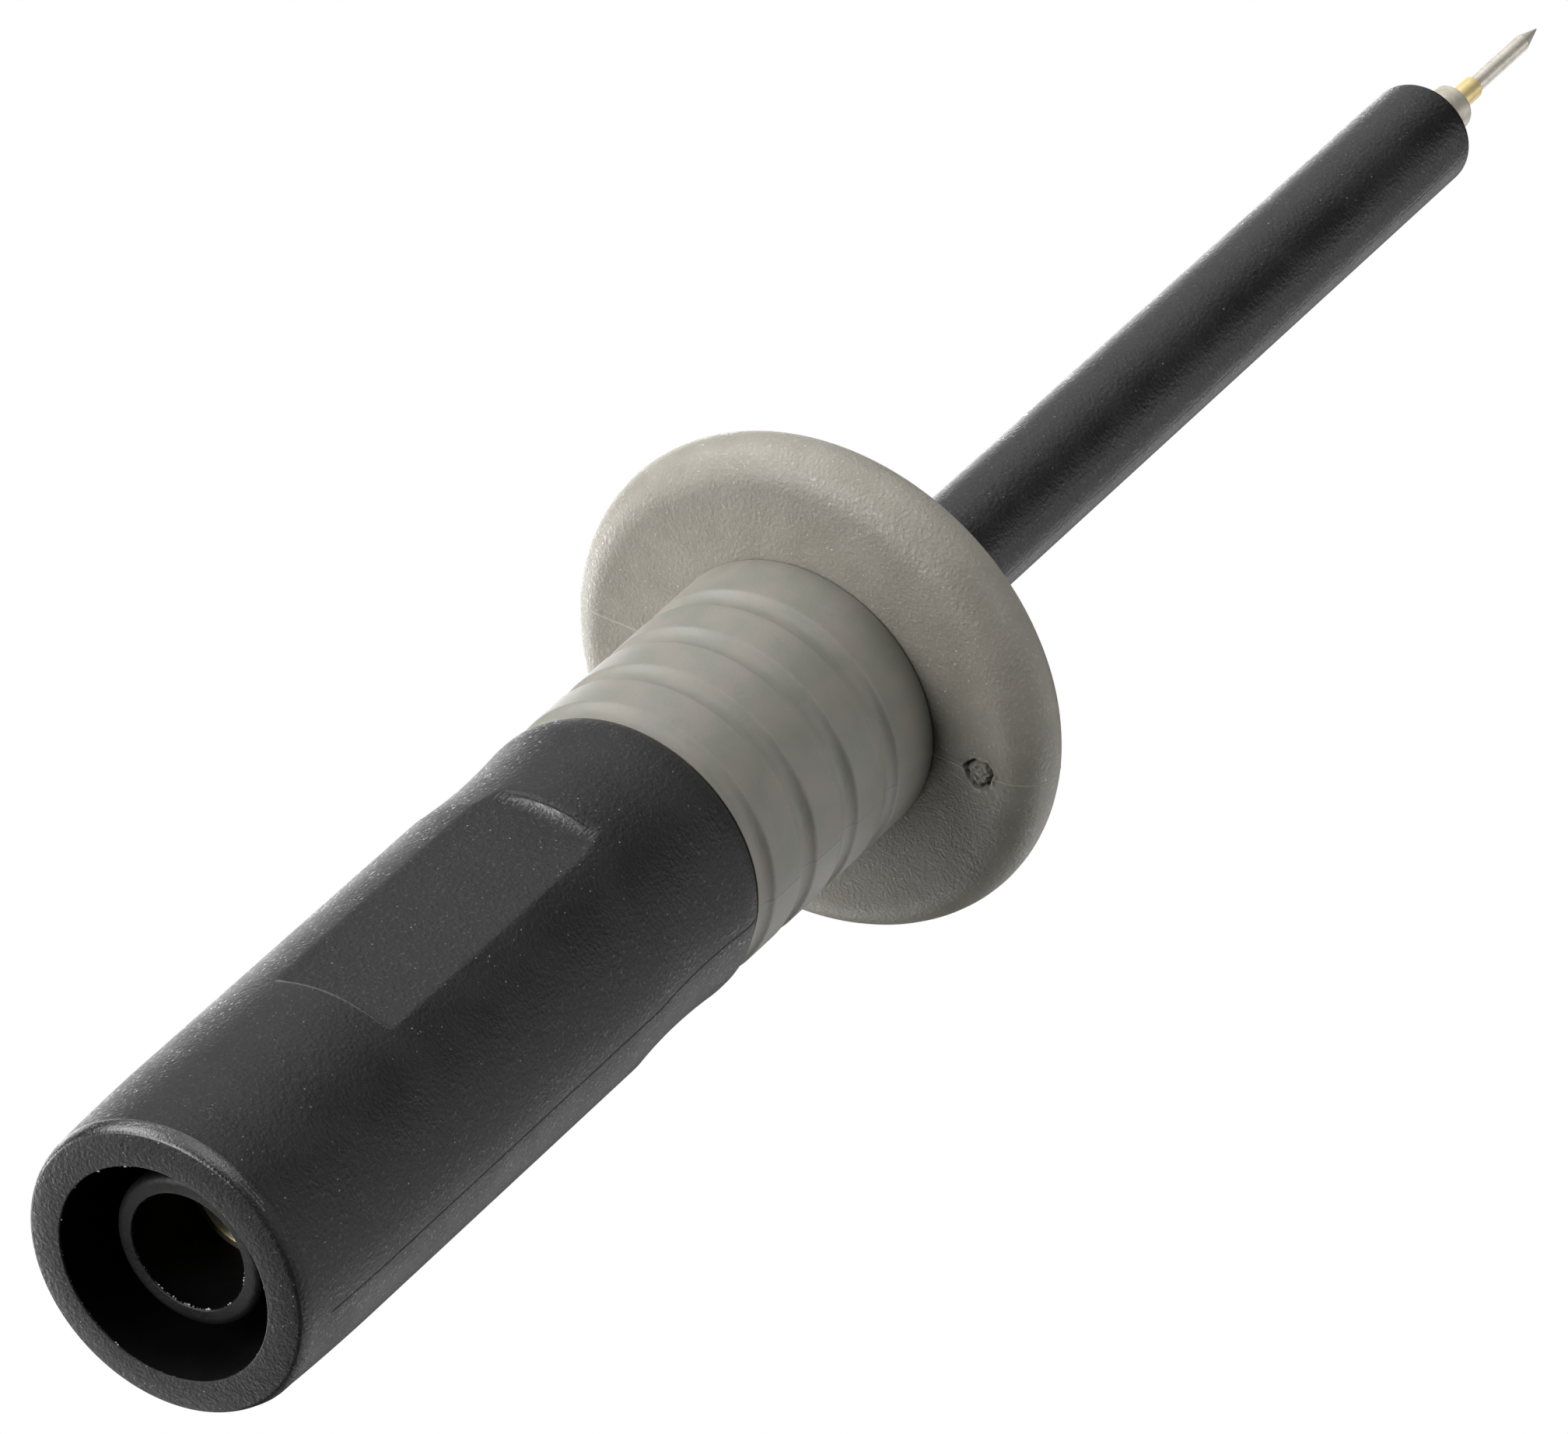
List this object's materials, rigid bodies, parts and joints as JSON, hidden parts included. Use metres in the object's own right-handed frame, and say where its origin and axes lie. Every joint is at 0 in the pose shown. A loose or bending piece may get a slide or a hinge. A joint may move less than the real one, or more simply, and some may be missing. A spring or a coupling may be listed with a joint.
{
  "type": "test probe",
  "caption": "Hand-held electrical test probe: round handle with a safety socket for a plug, ribbed grip, round finger guard, long insulated shaft and spring-loaded needle tip.",
  "frame": {"origin": "on the probe's axis where the socket contact's round bore begins, 5.7 mm inside the handle's rear face", "axes": "+X along the probe's axis towards the needle's point, +Z out of the handle's bare label panel, XY the mould parting plane"},
  "size_m": [0.1083, 0.0222, 0.0222],
  "materials": {
    "black_plastic": "fine spark-eroded grain",
    "grey_plastic": "fine grain",
    "grey_rubber": "smooth matte",
    "natural_plastic": "smooth",
    "wire_plastic": "smooth",
    "copper": "drawn",
    "plated_brass": "turned",
    "gold_plate": "satin",
    "nickel": "satin",
    "spring_steel": "ground"
  },
  "bodies": {
    "probe": {"handle_body": "black_plastic", "socket_insulator": "black_plastic", "socket_contact": "plated_brass", "spacer_tube": "natural_plastic", "grip_sleeve": "grey_rubber", "finger_guard": "grey_plastic", "shaft_sheath": "black_plastic", "wire_core": "copper", "wire_insulation": "wire_plastic", "probe_receptacle": "plated_brass", "tip_bush": "nickel", "probe_barrel": "gold_plate", "plunger_spring": "spring_steel"},
    "plunger": {"probe_plunger": "spring_steel"}
  },
  "joints": [
    {"name": "plunger_slide", "type": "slide", "parent": "probe", "child": "plunger", "axis": [-1, 0, 0], "range_m": [0, 0.004], "stiffness_N_per_m": 340, "springref_m": -0.0012, "deforming": ["plunger_spring"]}
  ]
}
